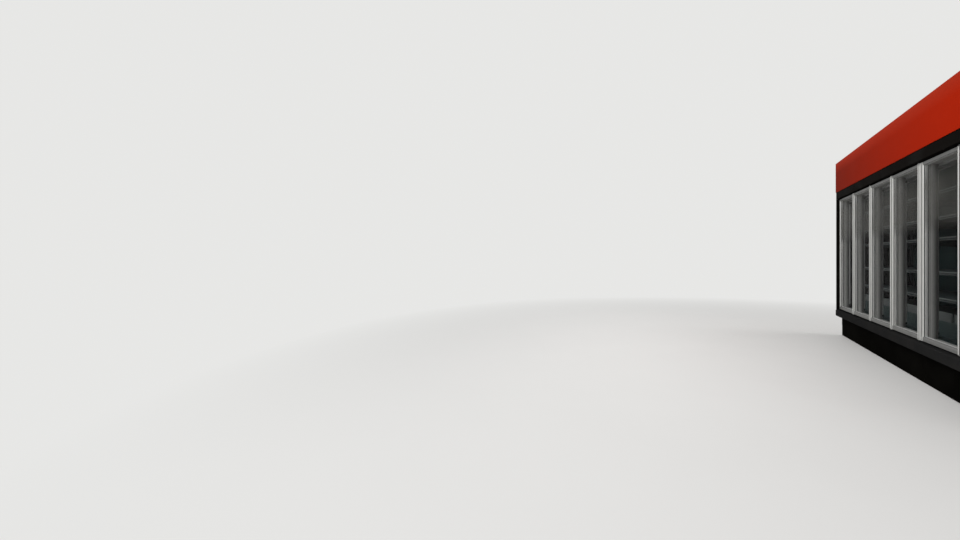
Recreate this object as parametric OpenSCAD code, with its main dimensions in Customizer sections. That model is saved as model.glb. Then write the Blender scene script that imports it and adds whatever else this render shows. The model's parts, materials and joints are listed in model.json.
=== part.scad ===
// Refrigerated wall cabinet row with six hinged glass doors
// X runs along the row, the doors face -Y and Z is up.
// The origin is on the floor, at the middle of the row's length and depth.

/* [Row] */
// Distance between the centres of two doors in one module
door_pitch = 625; // [560:5:760]
// Doors in the long module, at the -X end
doors_a = 4; // [2:2:6]
// Doors in the short module, at the +X end
doors_b = 2; // [2:2:4]
// Extra width where the two modules meet
joint_w = 40; // [20:5:80]
// Thickness of the insulated end walls
end_t = 40; // [30:5:60]
// Thickness of the end trims beside the doors
end_trim_t = 30; // [20:5:30]
// Depth over all, from the bumper's front to the back wall
depth = 900; // [840:10:1000]

/* [Heights] */
// Top of the recessed plinth
plinth_h = 280; // [260:5:300]
// Height of the bumper panel above the plinth
bumper_h = 100; // [90:5:140]
// Clear height between the bumper and the header
door_zone_h = 1640; // [1620:10:1680]
// Height of the black header above the doors
header_h = 100; // [90:5:140]
// Height of the red fascia panel
fascia_h = 430; // [300:10:500]

/* [Doors] */
// Width of the upright bars at both sides of a door
stile_w = 34; // [32:1:44]
// Width of the bar across the top of a door
top_rail_w = 28; // [26:1:40]
// Width of the bar across the bottom of a door
bottom_rail_w = 40; // [32:1:60]
// Thickness of the door's frame profile
leaf_t = 40; // [38:1:46]
// Chamfer along the edges of the door's frame profile
edge_cut = 2; // [1:0.5:3]
// Width of the sloping glass bead
bead_w = 12; // [8:1:12]
// Step between the frame's front and the glass bead
bead_step = 1.5; // [1:0.5:2]
// Thickness of the bead's lip at the glass
bead_lip = 2; // [1:0.5:2.5]
// Gap between two neighbouring doors
door_gap = 12; // [12:1:20]
// Gap above and under a door
door_end_gap = 12; // [11:1:16]
// Distance from the front of the row to the door's front face
door_setback = 35; // [30:1:50]
// Thickness of one glass pane
pane_t = 4; // [3:0.5:6]
// Air space between the two panes
pane_space = 16; // [10:1:18]
// Depth by which the glass sits in the frame
glass_bite = 12; // [8:1:12]
// Distance from the hinge axis to the door's edge
pivot_inset = 14; // [13:1:15]
// Distance from the door's front face to the hinge axis
pivot_set = 16; // [15:0.5:18]
// Radius of the pivot pins
pin_r = 5; // [4:0.5:6]
// Length of a pin inside the door
pin_len = 28; // [20:1:32]
// Thickness of the pivot bracket's plate
pivot_plate_t = 5; // [4:0.5:5]
// Width of the pivot bracket's plate
pivot_plate_w = 26; // [22:1:30]
// Height of the collar that carries the door on its lower pin
collar_h = 3; // [2:0.5:3]
// Radius of the collar that carries the door on its lower pin
collar_r = 8; // [7:0.5:10]
// Thickness of the magnetic seal behind the door
seal_t = 10; // [9:0.5:12]
// Width of the magnetic seal
seal_w = 14; // [10:1:18]
// Distance from the door's edge to the seal
seal_inset = 12; // [12:1:14]
// Distance from the free stile's edge to the finger groove
grip_inset = 6; // [5:1:7]
// Width of the finger groove in the free stile
grip_w = 10; // [8:1:12]
// Depth of the finger groove in the free stile
grip_d = 9; // [6:1:10]

/* [Door surround] */
// Depth of the mullions, sill and head rail
surround_d = 50; // [40:1:70]
// Height of the sill and head rail
surround_h = 45; // [42:1:60]
// Width that a mullion shows past the seals on each side
mullion_lip = 2; // [1:0.5:6]
// Width that a mullion's back narrows by on each side
mullion_taper = 14; // [8:1:16]
// Width of a light strip on the back of a mullion
light_w = 22; // [16:1:28]
// Depth of a light strip on the back of a mullion
light_d = 16; // [10:1:20]

/* [Housing] */
// Thickness of the insulated walls, roof and floor tank
wall_t = 60; // [40:5:70]
// Underside of the insulated floor tank
tank_z = 150; // [130:5:170]
// Gap between the panels of two modules
panel_gap = 2; // [1:0.5:4]
// Thickness of folded sheet metal
sheet_t = 2; // [1.5:0.5:3]
// Depth that the plinth stands back from the row's front
plinth_setback = 68; // [66:1:75]
// Gap between the plinth plate and the floor
plinth_gap = 4; // [3:1:8]
// Radius of the bumper's rounded front edges
bumper_r = 18; // [10:1:25]
// Distance that the header stands back from the fascia's front
header_setback = 6; // [4:1:10]
// Width of the fascia's folded edges
fascia_return = 40; // [30:1:50]
// Thickness of the fascia panel
fascia_t = 3; // [2:0.5:4]
// Side of the square posts that carry the fascia
post_w = 40; // [30:1:50]
// Gap between the fascia's top edge and a post's top
post_drop = 20; // [10:5:40]
// Height of a base beam
beam_h = 80; // [60:5:90]
// Width of a base beam
beam_w = 60; // [50:5:80]
// Wall of a base beam's hollow section
beam_wall = 4; // [3:0.5:6]
// Distance from the back of the row to the base beams
beam_back = 40; // [30:5:60]
// Radius of a levelling foot's disc
foot_r = 30; // [25:1:40]
// Thickness of a levelling foot's disc
foot_t = 12; // [8:1:15]
// Radius of a levelling foot's stem
foot_stem_r = 9; // [6:1:10]
// Radius over the corners of a levelling foot's lock nut
foot_nut_r = 16; // [14:1:20]
// Thickness of a levelling foot's lock nut
foot_nut_t = 12; // [8:1:15]

/* [Inside] */
// Distance from the back wall to the rear air duct's panel
duct_d = 60; // [50:1:80]
// Height of the inner ceiling panel above the door surround's clear opening
ceiling_drop = 60; // [50:5:70]
// Top of the deck above the bumper
deck_rise = 195; // [175:5:210]
// Thickness of the return air grille
grille_t = 15; // [10:1:20]
// Number of slots in each return air grille
grille_slots = 36; // [24:1:48]
// Width of a bar between two grille slots
grille_bar = 10; // [6:1:14]
// Width of the grille's edge before and behind the slots
grille_edge = 14; // [10:1:20]
// Height of the air outlet above the ceiling panel
outlet_h = 30; // [26:1:40]
// Number of cells in each air outlet
outlet_cells = 24; // [12:1:36]
// Thickness of the walls between the outlet's cells
outlet_wall = 6; // [4:0.5:8]
// Height of the pale riser at the deck's front
riser_h = 85; // [80:1:100]
// Height that the riser stands above the deck
riser_lip = 70; // [50:1:70]
// Distance from the door surround to the riser
riser_setback = 100; // [80:5:120]
// Height of the lowest shelf above the floor
shelf_z = 765; // [755:5:780]
// Rise from each shelf to the next, from the lowest up
shelf_steps = [250, 325, 200, 250];
// Depth of a shelf
shelf_d = 480; // [400:10:500]
// Thickness of a shelf over its folded edges
shelf_t = 30; // [26:1:36]
// Width of the hem folded in under a shelf's front edge
shelf_hem = 10; // [6:1:14]
// Height of the edge folded down at a shelf's back
shelf_back_h = 14; // [8:1:20]
// Gap between two shelves side by side
shelf_gap = 10; // [6:1:16]
// Depth of the slotted posts behind the shelves
upright_d = 25; // [20:1:30]
// Width of the slotted posts behind the shelves
upright_w = 24; // [20:1:30]
// Distance from one slot to the next in a slotted post
slot_pitch = 25; // [25:25:25]
// Height of a slot in a slotted post
slot_h = 16; // [15:0.5:18]
// Distance from a shelf's end to the middle of its bracket
bracket_inset = 20; // [16:1:30]
// Thickness of a shelf bracket
bracket_t = 3; // [2:0.5:5]
// Height of a shelf bracket at the back
bracket_h = 75; // [60:5:90]
// Height of a shelf bracket at the front
bracket_tip_h = 22; // [18:1:24]
// Height of a hook on a shelf bracket
hook_h = 12; // [10:0.5:14]
// Depth that a hook's lip drops behind the slotted post's face
hook_drop = 6; // [4:0.5:8]
// Height of a price rail
rail_h = 30; // [26:1:45]
// Depth of a price rail
rail_t = 8; // [6:0.5:10]
// Thickness of a price rail's back and lips
rail_wall = 2; // [1:0.5:3]

/* [Hidden] */
$fn = 48;
pin_clear = 0.3;
seat_clear = 0.3;
slot_clear = 1;
past = 1;
door_count = doors_a + doors_b;

// Lengths along the row
module_a = doors_a * door_pitch + joint_w / 2;
module_b = doors_b * door_pitch + joint_w / 2;
inner_len = module_a + module_b;
row_len = inner_len + 2 * end_t;
left_x = -inner_len / 2;
right_x = inner_len / 2;
split_x = left_x + module_a;
spans = [[left_x, split_x - panel_gap / 2], [split_x + panel_gap / 2, right_x]];
outer_spans = [[left_x - end_t, spans[0][1]], [spans[1][0], right_x + end_t]];
side_kick_x = [left_x - end_t / 2, right_x + end_t / 2];

// Places across the row's depth
front_y = -depth / 2;
back_y = depth / 2;
leaf_y = front_y + door_setback;
leaf_back_y = leaf_y + leaf_t;
surround_y = leaf_back_y + seal_t;
surround_back_y = surround_y + surround_d;
pivot_y = leaf_y + pivot_set;
wall_y = back_y - wall_t;
duct_y = wall_y - duct_d;
tank_y = front_y + plinth_setback + sheet_t;
shelf_back_y = duct_y - upright_d;
shelf_front_y = shelf_back_y - shelf_d;
riser_y = surround_back_y + riser_setback;

// Heights
zone_z = plinth_h + bumper_h;
header_z = zone_z + door_zone_h;
fascia_z = header_z + header_h;
total_h = fascia_z + fascia_h;
leaf_z = zone_z + door_end_gap;
leaf_h = door_zone_h - 2 * door_end_gap;
sill_top_z = zone_z - seal_inset / 2 + surround_h;
head_bottom_z = header_z + seal_inset / 2 - surround_h;
ceiling_z = header_z - ceiling_drop;
deck_z = zone_z + deck_rise;
function shelf_top(n) = n == 1 ? shelf_z : shelf_top(n - 1) + shelf_steps[n - 2];
shelf_count = len(shelf_steps) + 1;

// Doors and the strips between them
leaf_w = door_pitch - door_gap;
function leaf_x(k) = left_x + door_gap / 2 + (k - 1) * door_pitch + (k > doors_a ? joint_w : 0);
function pivot_x(k) = leaf_x(k) + leaf_w - pivot_inset;
strip_w = seal_inset + seal_w + mullion_lip;
function mullion_from(m) = m == 0 ? left_x : leaf_x(m) + leaf_w - strip_w;
function mullion_to(m) = m == door_count ? right_x : leaf_x(m + 1) + strip_w;

// Shelf columns, each two doors wide
column_count = door_count / 2;
function column_x(c) = leaf_x(2 * c - 1) - door_gap / 2 + shelf_gap / 2;
column_w = 2 * door_pitch - shelf_gap;
function bracket_x(c, side) = column_x(c) + (side == 0 ? bracket_inset : column_w - bracket_inset);

// Inner panels meet between the shelf columns
function column_edge(c) =
    c == 0 ? left_x : c == column_count ? right_x : (leaf_x(2 * c) + leaf_w + leaf_x(2 * c + 1)) / 2;
function panel_from(c) = column_edge(c - 1) + (c == 1 ? 0 : panel_gap / 2);
function panel_to(c) = column_edge(c) - (c == column_count ? 0 : panel_gap / 2);

// A box from its low corner to its high corner
module block(low, high) {
    translate(low) cube(high - low);
}

// A profile in Y and Z, drawn along X
module along_x(from, to) {
    translate([from, 0, 0]) rotate([90, 0, 90]) linear_extrude(height = to - from) children();
}

// A profile in X and Y, drawn up Z
module along_z(from, to) {
    translate([0, 0, from]) linear_extrude(height = to - from) children();
}

// A rectangle from its low corner to its high corner
module area(low, high) {
    translate(low) square(high - low);
}

function beam_x() = [
    left_x + beam_w, (left_x + split_x) / 2, split_x - beam_w,
    split_x + beam_w, right_x - beam_w];
foot_y = [front_y + plinth_setback + 2 * foot_r, back_y - beam_back - 2 * foot_r];

module base_beams() {
    low_z = tank_z - beam_h;
    color("silver")
        for (x = beam_x()) difference() {
            block([x - beam_w / 2, tank_y, low_z], [x + beam_w / 2, back_y - beam_back, tank_z]);
            block([x - beam_w / 2 + beam_wall, tank_y - past, low_z + beam_wall],
                  [x + beam_w / 2 - beam_wall, back_y - beam_back + past, tank_z - beam_wall]);
        }
}

// Feet with a stem and a hexagonal lock nut under the beam
module levelling_feet() {
    top_z = tank_z - beam_h;
    color("dimgray")
        for (x = beam_x(), y = foot_y) translate([x, y, 0]) {
            cylinder(r = foot_r, h = foot_t);
            cylinder(r = foot_stem_r, h = top_z);
            translate([0, 0, top_z - foot_nut_t]) cylinder(r = foot_nut_r, h = foot_nut_t, $fn = 6);
        }
}

// Plinth plate under the bumper, stopping just above the floor
module kick_plate() {
    ends = [[side_kick_x[0] - sheet_t / 2, spans[0][1]], [spans[1][0], side_kick_x[1] + sheet_t / 2]];
    color("black")
        for (s = ends)
            block([s[0], tank_y - sheet_t, plinth_gap], [s[1], tank_y, plinth_h]);
}

module side_kicks() {
    color("black")
        for (x = side_kick_x)
            block([x - sheet_t / 2, tank_y, plinth_gap],
                  [x + sheet_t / 2, back_y - beam_back, tank_z]);
}

// Insulated floor with an upstand that carries the sill
module floor_tank() {
    color("dimgray")
        for (s = spans) along_x(s[0], s[1]) {
            area([tank_y, tank_z], [wall_y, tank_z + wall_t]);
            area([tank_y, tank_z], [surround_back_y, sill_top_z - surround_h]);
        }
}

module back_wall() {
    color("gray")
        for (s = spans)
            block([s[0], wall_y, tank_z], [s[1], back_y, header_z]);
}

// Insulated ends, stepped forward under the doors, with a trim up to the header beside them
module end_walls() {
    color("black")
        for (side = [0, 1]) {
            x = side == 0 ? left_x - end_t : right_x;
            trim_x = side == 0 ? x : x + end_t - end_trim_t;
            along_x(x, x + end_t) {
                area([surround_y, tank_z], [back_y, header_z + wall_t]);
                area([tank_y, tank_z], [back_y, zone_z]);
            }
            block([trim_x, front_y + header_setback, zone_z],
                  [trim_x + end_trim_t, surround_y, header_z]);
        }
}

module roof() {
    color("gray")
        for (s = spans)
            block([s[0], surround_y, header_z], [s[1], back_y, header_z + wall_t]);
}

// Front panel with rounded edges
module bumper() {
    color("#262626")
        for (s = outer_spans) along_x(s[0], s[1]) {
            for (z = [plinth_h + bumper_r, zone_z - bumper_r])
                translate([front_y + bumper_r, z]) circle(r = bumper_r);
            area([front_y, plinth_h + bumper_r], [tank_y, zone_z - bumper_r]);
            area([front_y + bumper_r, plinth_h], [tank_y, zone_z]);
        }
}

// Folded canopy, closed at its ends and open towards the roof's front edge
module header() {
    low = [left_x - end_t, front_y + header_setback, header_z];
    high = [right_x + end_t, surround_y, fascia_z];
    fold = [sheet_t, sheet_t, sheet_t];
    color("#101010") difference() {
        block(low, high);
        block(low + fold, high - fold);
        block(low + fold, [high[0] - sheet_t, high[1] + past, header_z + wall_t]);
    }
}

// Red panel folded back along its top, its bottom and its ends
module fascia() {
    low = [left_x - end_t, front_y, fascia_z];
    high = [right_x + end_t, front_y + fascia_return, total_h];
    color("#a8200c") difference() {
        block(low, high);
        block(low + [fascia_t, fascia_t, fascia_t], high - [fascia_t, -past, fascia_t]);
    }
}

// Posts on the roof, each with an arm inside the fascia's bottom fold and one near its top
module fascia_posts() {
    color("silver")
        for (x = beam_x()) {
            block([x - post_w / 2, surround_y, header_z + wall_t],
                  [x + post_w / 2, surround_y + post_w, total_h - post_drop]);
            for (z = [fascia_z + fascia_t, total_h - post_drop - post_w])
                block([x - post_w / 2, front_y + fascia_t, z],
                      [x + post_w / 2, surround_y + post_w, z + post_w]);
        }
}

module sill() {
    color("silver")
        for (s = spans)
            block([s[0], surround_y, sill_top_z - surround_h], [s[1], surround_back_y, sill_top_z]);
}

module head_rail() {
    color("silver")
        for (s = spans)
            block([s[0], surround_y, head_bottom_z], [s[1], surround_back_y, header_z]);
}

// Posts between the doorways, narrower behind, with a cover strip where the modules meet
module mullions() {
    color("silver")
        for (m = [0:door_count]) {
            from = mullion_from(m);
            to = mullion_to(m);
            along_z(sill_top_z, head_bottom_z)
                polygon([
                    [from, surround_y], [to, surround_y],
                    [to - (m == door_count ? 0 : mullion_taper), surround_back_y],
                    [from + (m == 0 ? 0 : mullion_taper), surround_back_y]]);
            if (m == doors_a)
                block([leaf_x(m) + leaf_w + door_gap, leaf_y, leaf_z],
                      [leaf_x(m + 1) - door_gap, surround_y, leaf_z + leaf_h]);
        }
}

// One pivot bracket and its pin, with the plate's underside at the origin
module pivot_bracket(pin_h) {
    block([-pivot_plate_w / 2, -pivot_plate_w / 2, 0],
          [pivot_plate_w / 2, surround_y - pivot_y, pivot_plate_t]);
    cylinder(r = pin_r, h = pin_h);
}

// Brackets on the sill and head rail, with the pins that the doors turn on
module pivot_brackets() {
    plate_gap = (door_end_gap - pivot_plate_t) / 2;
    pin_h = pivot_plate_t + plate_gap + pin_len;
    color("gray")
        for (k = [1:door_count]) {
            translate([pivot_x(k), pivot_y, leaf_z - plate_gap - pivot_plate_t]) {
                pivot_bracket(pin_h);
                cylinder(r = collar_r, h = pivot_plate_t + collar_h);
            }
            translate([pivot_x(k), pivot_y, leaf_z + leaf_h + plate_gap + pivot_plate_t])
                mirror([0, 0, 1]) pivot_bracket(pin_h);
        }
}

// Lamps with a rounded cover on the backs of the mullions
module light_strips() {
    color("gainsboro")
        for (m = [0:door_count])
            along_z(sill_top_z + surround_h, head_bottom_z - surround_h)
                translate([(mullion_from(m) + mullion_to(m)) / 2, surround_back_y]) intersection() {
                    translate([0, light_d - light_w / 2]) circle(r = light_w / 2);
                    area([-light_w / 2, 0], [light_w / 2, light_d]);
                }
}

// A row of slots cut down through a panel between two corners
module slot_row(from, to, z, count, bar) {
    pitch = (to[0] - from[0] + bar) / count;
    for (i = [0:count - 1])
        block([from[0] + i * pitch, from[1], z[0] - past],
              [from[0] + (i + 1) * pitch - bar, to[1], z[1] + past]);
}

// Grille of the return air duct between the sill and the deck
module return_grille() {
    high_y = riser_y + rail_t + sheet_t;
    z = [sill_top_z - grille_t, sill_top_z];
    color("#303436")
        for (c = [1:column_count]) difference() {
            block([panel_from(c), surround_back_y, z[0]], [panel_to(c), high_y, z[1]]);
            slot_row([column_x(c) + grille_edge, surround_back_y + grille_edge],
                     [column_x(c) + column_w - grille_edge, riser_y - grille_edge],
                     z, grille_slots, grille_bar);
        }
}

// Deck sheet with an apron that stands on the return grille
module deck() {
    y = riser_y + rail_t;
    color("#303436")
        for (c = [1:column_count]) along_x(panel_from(c), panel_to(c)) {
            area([y, deck_z - sheet_t], [duct_y, deck_z]);
            area([y, sill_top_z], [y + sheet_t, deck_z]);
        }
}

module deck_riser() {
    color("gainsboro")
        for (c = [1:column_count])
            block([column_x(c), riser_y, deck_z + riser_lip - riser_h],
                  [column_x(c) + column_w, riser_y + rail_t, deck_z + riser_lip]);
}

module duct_panel() {
    color("#25292b")
        for (c = [1:column_count])
            block([panel_from(c), duct_y, tank_z + wall_t], [panel_to(c), duct_y + sheet_t, ceiling_z]);
}

module ceiling_panel() {
    color("#25292b")
        for (c = [1:column_count])
            block([panel_from(c), riser_y, ceiling_z], [panel_to(c), duct_y + sheet_t, ceiling_z + sheet_t]);
}

// Comb of cells that the cold air falls through
module air_outlet() {
    z = [ceiling_z, ceiling_z + outlet_h];
    color("gainsboro")
        for (c = [1:column_count]) difference() {
            block([panel_from(c), surround_back_y, z[0]], [panel_to(c), riser_y, z[1]]);
            slot_row([column_x(c) + outlet_wall, surround_back_y + grille_edge],
                     [column_x(c) + column_w - outlet_wall, riser_y - grille_edge],
                     z, outlet_cells, outlet_wall);
        }
}

// Channels open to the back, with a ladder of slots in line with the shelves
slot_phase = (shelf_z - deck_z) % slot_pitch;
slot_count = floor((ceiling_z - deck_z - slot_phase - slot_h) / slot_pitch);
slot_w = bracket_t + slot_clear;
module shelf_uprights() {
    color("#1c1f20")
        for (c = [1:column_count], side = [0, 1]) {
            x = bracket_x(c, side);
            difference() {
                block([x - upright_w / 2, shelf_back_y, deck_z], [x + upright_w / 2, duct_y, ceiling_z]);
                block([x - upright_w / 2 + sheet_t, shelf_back_y + sheet_t, deck_z - past],
                      [x + upright_w / 2 - sheet_t, duct_y + past, ceiling_z + past]);
                for (i = [0:slot_count])
                    translate([x - slot_w / 2, shelf_back_y - past,
                               deck_z + slot_phase + i * slot_pitch])
                        cube([slot_w, sheet_t + 2 * past, slot_h]);
            }
        }
}

// Sheet folded down at its front and back, with a hem under the front
module shelf(n) {
    top = shelf_top(n);
    back = shelf_back_y - seat_clear;
    color("#1c1f20")
        for (c = [1:column_count]) along_x(column_x(c), column_x(c) + column_w) {
            area([shelf_front_y, top - sheet_t], [back, top]);
            area([shelf_front_y, top - shelf_t], [shelf_front_y + sheet_t, top]);
            area([shelf_front_y, top - shelf_t], [shelf_front_y + shelf_hem, top - shelf_t + sheet_t]);
            area([back - sheet_t, top - shelf_back_h], [back, top]);
        }
}

// Tapered arms under the shelves, with hooks that drop behind the face of the slotted posts
module shelf_brackets() {
    from_y = shelf_front_y + shelf_hem;
    notch_y = shelf_back_y - seat_clear - sheet_t;
    lip_y = shelf_back_y + sheet_t + seat_clear;
    color("#1c1f20")
        for (n = [1:shelf_count], c = [1:column_count], side = [0, 1]) {
            top = shelf_top(n) - sheet_t;
            low = shelf_top(n) - shelf_back_h;
            along_x(bracket_x(c, side) - bracket_t / 2, bracket_x(c, side) + bracket_t / 2) {
                polygon([
                    [from_y, top], [notch_y, top], [notch_y, low], [shelf_back_y, low],
                    [shelf_back_y, top - bracket_h], [notch_y - bracket_tip_h, top - bracket_h],
                    [from_y, top - bracket_tip_h]]);
                for (z = [shelf_top(n) - 2 * slot_pitch, shelf_top(n) - 3 * slot_pitch]) {
                    area([shelf_back_y, z], [lip_y + sheet_t, z + hook_h]);
                    area([lip_y, z - hook_drop], [lip_y + sheet_t, z + hook_h]);
                }
            }
        }
}

// Channels with a lip above and below that hold the price strips
module price_rails() {
    color("gainsboro")
        for (n = [1:shelf_count], c = [1:column_count]) {
            low = [shelf_front_y - rail_t, shelf_top(n) - rail_h];
            high = [shelf_front_y, shelf_top(n)];
            along_x(column_x(c), column_x(c) + column_w) {
                area([high[0] - rail_wall, low[1]], high);
                area(low, [high[0], low[1] + rail_wall]);
                area(low, [low[0] + rail_wall, low[1] + 2 * rail_wall]);
                area([low[0], high[1] - rail_wall], high);
                area([low[0], high[1] - 2 * rail_wall], [low[0] + rail_wall, high[1]]);
            }
        }
}

// Section of a bar of the door's frame: Y from the front, Z from the outer edge towards the glass
glass_t = 2 * pane_t + pane_space;
glass_y = leaf_y + (leaf_t - glass_t) / 2;
channel = [glass_y - leaf_y - seat_clear, glass_y - leaf_y + glass_t + seat_clear];
function channel_floor(width) = width - glass_bite - seat_clear;
module bar_section(width) {
    polygon([
        [edge_cut, 0], [leaf_t - edge_cut, 0], [leaf_t, edge_cut], [leaf_t, width - edge_cut],
        [leaf_t - edge_cut, width], [channel[1], width], [channel[1], channel_floor(width)],
        [channel[0], channel_floor(width)], [channel[0], width], [channel[0] - bead_lip, width],
        [bead_step, width - bead_w], [0, width - bead_w], [0, edge_cut]]);
}

// An upright bar over the door's full height, with its outer edge at the origin
module stile() {
    mirror([1, 0, -1]) along_x(0, leaf_h) bar_section(stile_w);
}

// A bar between the stiles that reaches into their glass channels
module rail(width) {
    from = channel_floor(stile_w) - past;
    along_x(from, leaf_w - from) bar_section(width);
}

// Aluminium frame of one door, with the finger groove and the pin bores
module door_frame(k) {
    x = leaf_x(k);
    color("silver") difference() {
        union() {
            translate([x, leaf_y, leaf_z]) {
                stile();
                rail(bottom_rail_w);
            }
            translate([x + leaf_w, leaf_y, leaf_z]) mirror([1, 0, 0]) stile();
            translate([x, leaf_y, leaf_z + leaf_h]) mirror([0, 0, 1]) rail(top_rail_w);
        }
        block([x + grip_inset, leaf_y - past, leaf_z + bottom_rail_w],
              [x + grip_inset + grip_w, leaf_y + grip_d, leaf_z + leaf_h - top_rail_w]);
        for (z = [leaf_z - past, leaf_z + leaf_h - pin_len - past])
            translate([pivot_x(k), pivot_y, z])
                cylinder(r = pin_r + pin_clear, h = pin_len + 2 * past);
    }
}

// Two panes with an air space between them
module door_glass(k) {
    inset = stile_w - glass_bite;
    low_z = leaf_z + bottom_rail_w - glass_bite;
    high_z = leaf_z + leaf_h - top_rail_w + glass_bite;
    color([0.5, 0.6, 0.6, 0.4])
        for (y = [glass_y, glass_y + pane_t + pane_space])
            block([leaf_x(k) + inset, y, low_z], [leaf_x(k) + leaf_w - inset, y + pane_t, high_z]);
}

// Magnetic seal all round the back of one door
module door_seal(k) {
    low = [leaf_x(k) + seal_inset, leaf_back_y, leaf_z + seal_inset];
    high = [leaf_x(k) + leaf_w - seal_inset, surround_y - seat_clear, leaf_z + leaf_h - seal_inset];
    color("#202020") difference() {
        block(low, high);
        block(low + [seal_w, -past, seal_w], high - [seal_w, -past, seal_w]);
    }
}

base_beams();
levelling_feet();
kick_plate();
side_kicks();
floor_tank();
back_wall();
end_walls();
roof();
bumper();
header();
fascia();
fascia_posts();
sill();
head_rail();
mullions();
pivot_brackets();
light_strips();
return_grille();
deck();
deck_riser();
duct_panel();
ceiling_panel();
air_outlet();
shelf_uprights();
shelf_brackets();
price_rails();
for (n = [1:shelf_count]) shelf(n);
for (k = [1:door_count]) door_frame(k);
for (k = [1:door_count]) door_glass(k);
for (k = [1:door_count]) door_seal(k);
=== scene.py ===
# Refrigerated wall cabinet row with glass doors: materials, fine pieces, light and camera
import json
import math

import bmesh
import bpy
from mathutils import Matrix, Vector


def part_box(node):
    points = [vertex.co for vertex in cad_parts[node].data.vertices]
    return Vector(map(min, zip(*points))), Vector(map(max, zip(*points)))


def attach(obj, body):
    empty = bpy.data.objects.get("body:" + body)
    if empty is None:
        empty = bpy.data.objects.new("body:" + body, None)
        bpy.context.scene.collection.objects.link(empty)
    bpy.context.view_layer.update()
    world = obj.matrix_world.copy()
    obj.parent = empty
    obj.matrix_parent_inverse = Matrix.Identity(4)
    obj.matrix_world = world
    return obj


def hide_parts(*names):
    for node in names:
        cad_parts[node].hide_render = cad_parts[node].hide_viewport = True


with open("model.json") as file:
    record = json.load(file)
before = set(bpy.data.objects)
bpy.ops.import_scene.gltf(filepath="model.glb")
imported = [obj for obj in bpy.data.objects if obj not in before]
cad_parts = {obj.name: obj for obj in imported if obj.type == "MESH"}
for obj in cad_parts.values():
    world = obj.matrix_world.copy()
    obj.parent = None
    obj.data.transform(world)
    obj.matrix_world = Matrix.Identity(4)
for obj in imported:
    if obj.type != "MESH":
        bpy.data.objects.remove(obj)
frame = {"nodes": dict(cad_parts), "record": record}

scene = bpy.context.scene
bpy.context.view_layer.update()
nodes = frame["nodes"]

# Camera, at the photograph's station beside the row and with its frame
PHOTO_WIDTH = 960
PHOTO_FOCAL_PX = 377.5      # focal length that fits the row's own lines in the photograph
HORIZON_PX = 11.6           # the horizon's height above the middle of the photograph
YAW_FROM_ROW = 31.42        # degrees between the row's length and the camera's axis
STATION_ALONG = 3.771       # metres from the sill's near end to the camera, along the row
STATION_OUT = 1.633         # metres from the doors' front to the camera
CAMERA_HEIGHT = 1.139
SENSOR_MM = 36


def place_camera():
    sill_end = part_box("sill")[1].x
    door_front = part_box("door_frame_1")[0].y
    data = bpy.data.cameras.new("camera")
    data.sensor_width = SENSOR_MM
    data.lens = SENSOR_MM * PHOTO_FOCAL_PX / PHOTO_WIDTH
    data.shift_y = -HORIZON_PX / PHOTO_WIDTH
    camera = bpy.data.objects.new("camera", data)
    camera.location = (sill_end + STATION_ALONG, door_front - STATION_OUT, CAMERA_HEIGHT)
    camera.rotation_euler = (math.radians(90), 0, math.radians(90 + YAW_FROM_ROW))
    scene.collection.objects.link(camera)
    scene.camera = camera


place_camera()


# Sizes that the pieces share with the part's source, in metres
STILE = 0.034               # width of a door's upright bars
TOP_RAIL = 0.028            # height of a door's top bar
BOTTOM_RAIL = 0.040         # height of a door's bottom bar
BEAD = 0.012                # width of the slope from a bar's flat face to the glass
CHAMFER = 0.002             # along the edges of a door's frame
LEAF = 0.040                # thickness of a door
PANE = 0.004                # thickness of a glass pane
PIVOT_INSET = 0.014         # from a door's right-hand edge to its pins
PIVOT_SET = 0.016           # from a door's front to its pins
PIN = 0.005                 # radius of a pin
SEAL_INSET = 0.012          # from a door's edge to its seal
SEAL_WIDTH = 0.014
MULLION_LIP = 0.002         # what a mullion shows past the seal on each side
DOOR_GAP = 0.012            # between two doors side by side
SHELF_GAP = 0.010           # between two shelves side by side
PRICE_RAIL = 0.030          # height of a price rail
DOORS = range(1, 7)
SHELVES = range(1, 6)
COLUMNS = range(1, 4)       # of shelves, each behind two doors

# Places where a material changes, in metres in the row frame
# Painted shade: paint darkens towards the row's far end across this span of X
PAINT_SHADE_X = (-1.9, 1.6)
# Painted shade on the red panel, browner towards the far end
RED_SHADE_X = (-1.9, 1.2)
# Painted highlight along the red panel's top
RED_HIGHLIGHT_Z = (2.40, 2.54)
COVER_STRIP_Y = -0.367      # the front of the strip between the modules lies before this
# Painted shade on the posts' flanks, from full to dark across this depth
FLANK_SHADE_Y = (-0.365, -0.328)
# Heights where the glass's painted reflection starts, and where it weakens near the top
REFLECTION_FOOT_Z = (1.36, 1.50)
REFLECTION_TOP_Z = (1.80, 1.94)

# Glass: how much each face covers of what is behind it; the outer face covers more where it
# carries the painted reflection
INNER_FACES = 0.02
OUTER_FACE_CLEAR = 0.18
OUTER_FACE_REFLECTION = 0.58

HOLE_PITCH = 0.025          # of the perforated liner
HOLE_EDGE = (0.13, 0.17)    # where a hole ends, as a share of the pitch


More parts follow.
